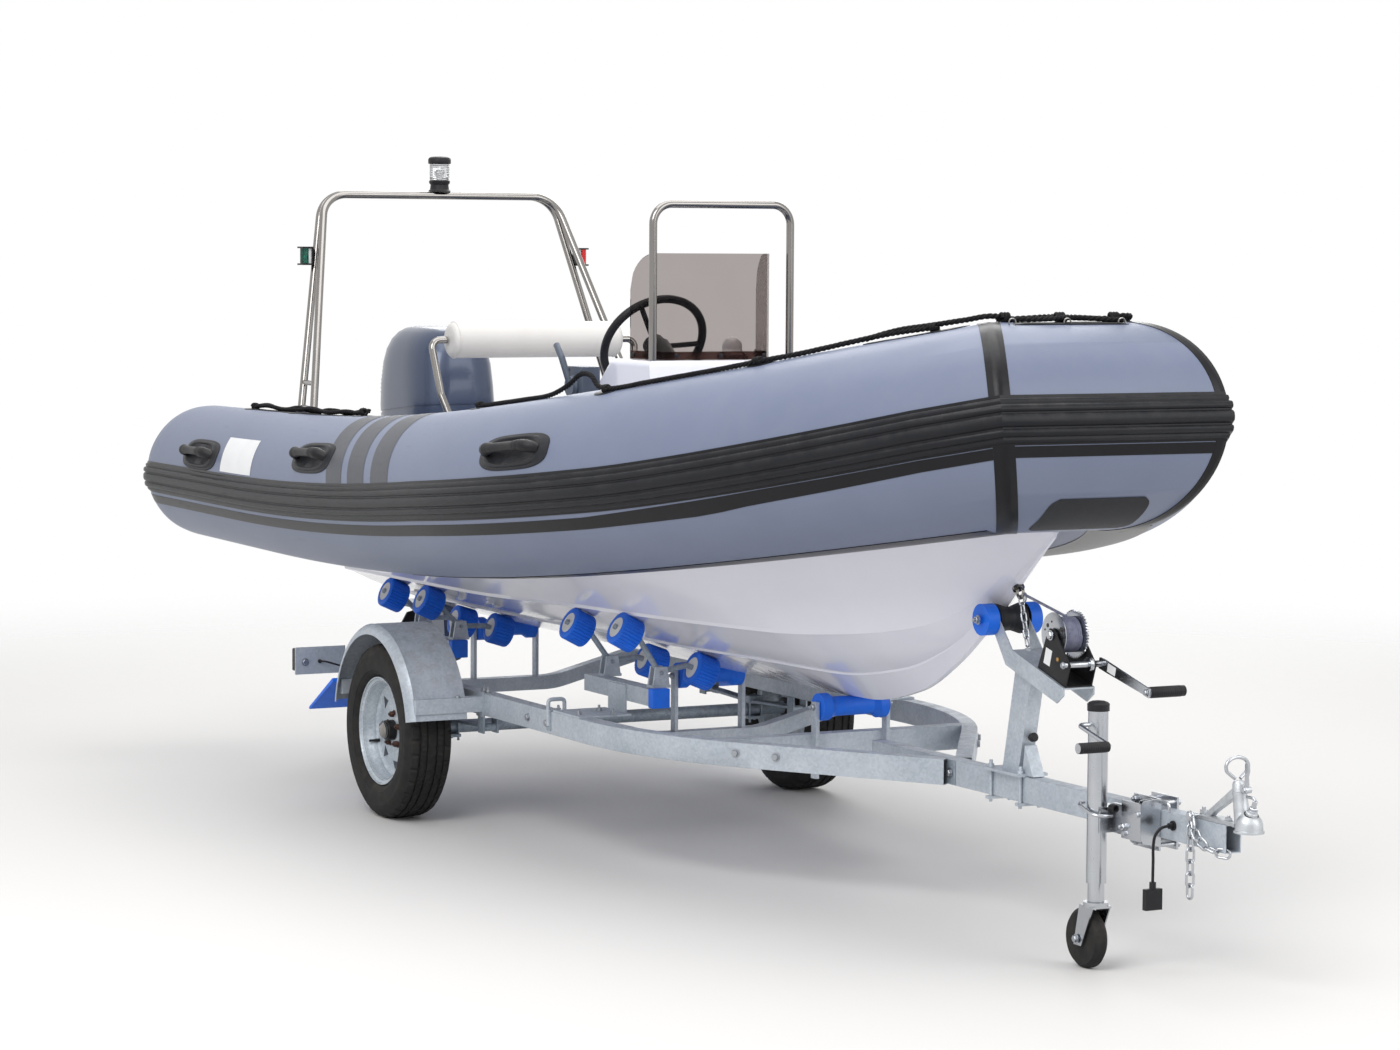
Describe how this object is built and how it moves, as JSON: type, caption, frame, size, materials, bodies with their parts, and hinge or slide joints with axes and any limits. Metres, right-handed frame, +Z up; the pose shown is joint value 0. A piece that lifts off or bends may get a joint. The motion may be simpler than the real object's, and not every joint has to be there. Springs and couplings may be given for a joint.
{
  "type": "rigid inflatable boat on a roller trailer",
  "caption": "Rigid inflatable boat with console, arch and outboard, strapped on a galvanised single-axle roller trailer with jockey stand.",
  "frame": {"origin": "on the floor, under the middle of the outfit's bounding box", "axes": "+X to the bow and the trailer's coupling, +Y to port, +Z up"},
  "size_m": [5.789, 2.1422, 2.2585],
  "materials": {
    "black_plastic": "satin",
    "black_rope": "woven",
    "black_rubber": "satin",
    "black_steel": "satin",
    "blue_rubber": "satin",
    "engine_block": "cast",
    "galvanised": "hot-dip galvanised, dull",
    "gelcoat": "gloss",
    "grey_plastic": "satin",
    "lamp_plastic": "gloss",
    "motor_paint": "metallic gloss",
    "smoked_acrylic": "gloss",
    "stainless": "polished",
    "tube_fabric": "satin",
    "tyre_rubber": "matte",
    "wheel_rubber": "satin",
    "wheel_steel": "galvanised, bright",
    "white_plastic": "gloss",
    "white_vinyl": "satin",
    "winch_line": "woven",
    "zinc_steel": "zinc plated, bright"
  },
  "bodies": {
    "boat_and_trailer": {"anchor_light": "black_plastic", "arch_frame": "stainless", "axle": "galvanised", "backrest_bolster": "white_vinyl", "backrest_frame": "stainless", "bow_eye": "stainless", "bow_locker": "gelcoat", "cable_gland": "black_plastic", "carry_handles": "black_plastic", "clamp_bracket": "motor_paint", "compass": "white_plastic", "console": "gelcoat", "console_rail": "stainless", "coupling": "zinc_steel", "cross_beams": "galvanised", "drawbar": "galvanised", "grab_lines": "black_rope", "hull": "gelcoat", "inflatable_tube": "tube_fabric", "jockey_clamp": "zinc_steel", "keel_rollers": "blue_rubber", "leaf_springs": "galvanised", "light_boards": "galvanised", "mud_flaps": "blue_rubber", "mudguards": "galvanised", "nav_lights": "black_plastic", "plug": "black_plastic", "plug_cable": "black_rubber", "roller_arms": "galvanised", "roller_beams": "galvanised", "rub_strake": "black_rubber", "safety_chain": "zinc_steel", "seat_base": "gelcoat", "seat_cushion": "white_vinyl", "side_rails": "galvanised", "side_rollers": "blue_rubber", "steering_helm": "black_plastic", "tail_lamps": "lamp_plastic", "throttle_control": "grey_plastic", "transom": "gelcoat", "winch_drum": "zinc_steel", "winch_frame": "black_steel", "winch_post": "galvanised", "winch_rope": "winch_line", "windscreen": "smoked_acrylic"},
    "wheel_right": {"rim_right": "wheel_steel", "tyre_right": "tyre_rubber"},
    "wheel_left": {"rim_left": "wheel_steel", "tyre_left": "tyre_rubber"},
    "jockey_stand": {"jockey_tube": "zinc_steel"},
    "jockey_leg": {"jockey_leg": "zinc_steel"},
    "jockey_caster": {"jockey_fork": "zinc_steel"},
    "jockey_wheel": {"jockey_wheel": "wheel_rubber"},
    "outboard_mount": {"swivel_bracket": "motor_paint"},
    "outboard": {"outboard_leg": "motor_paint", "outboard_cowl": "motor_paint", "powerhead": "engine_block"},
    "propeller": {"propeller": "motor_paint"},
    "helm_wheel": {"steering_wheel": "black_plastic"}
  },
  "joints": [
    {"name": "right_wheel_spin", "type": "hinge", "parent": "boat_and_trailer", "child": "wheel_right", "pos_m": [-0.9345, -0.77, 0.294], "axis": [0, 1, 0], "continuous": true},
    {"name": "left_wheel_spin", "type": "hinge", "parent": "boat_and_trailer", "child": "wheel_left", "pos_m": [-0.9345, 0.77, 0.294], "axis": [0, 1, 0], "continuous": true},
    {"name": "jockey_swing_up", "type": "hinge", "parent": "boat_and_trailer", "child": "jockey_stand", "pos_m": [2.4355, -0.07, 0.41], "axis": [0, 1, 0], "range_deg": [0, 90]},
    {"name": "jockey_wind", "type": "slide", "parent": "jockey_stand", "child": "jockey_leg", "axis": [0, 0, 1], "range_m": [-0.2, 0.045]},
    {"name": "jockey_caster", "type": "hinge", "parent": "jockey_leg", "child": "jockey_caster", "pos_m": [2.3405, -0.125, 0.18], "axis": [0, 0, 1], "continuous": true},
    {"name": "jockey_wheel_spin", "type": "hinge", "parent": "jockey_caster", "child": "jockey_wheel", "pos_m": [2.2985, -0.125, 0.081], "axis": [0, 1, 0], "continuous": true},
    {"name": "outboard_tilt", "type": "hinge", "parent": "boat_and_trailer", "child": "outboard_mount", "pos_m": [-2.1305, 0, 1.104], "axis": [0, 1, 0], "range_deg": [0, 65]},
    {"name": "outboard_steer", "type": "hinge", "parent": "outboard_mount", "child": "outboard", "pos_m": [-2.2225, 0, 0.9], "axis": [0, 0, 1], "range_deg": [-35, 35]},
    {"name": "propeller_spin", "type": "hinge", "parent": "outboard", "child": "propeller", "pos_m": [-2.5945, 0, 0.385], "axis": [1, 0, 0], "continuous": true},
    {"name": "helm_turn", "type": "hinge", "parent": "boat_and_trailer", "child": "helm_wheel", "pos_m": [-0.5625, 0, 1.6], "axis": [-0.848, 0, 0.5299], "range_deg": [-541, 541]}
  ],
  "couplings": [
    {"joint": "helm_turn", "follows": "outboard_steer", "ratio": 15.429}
  ]
}
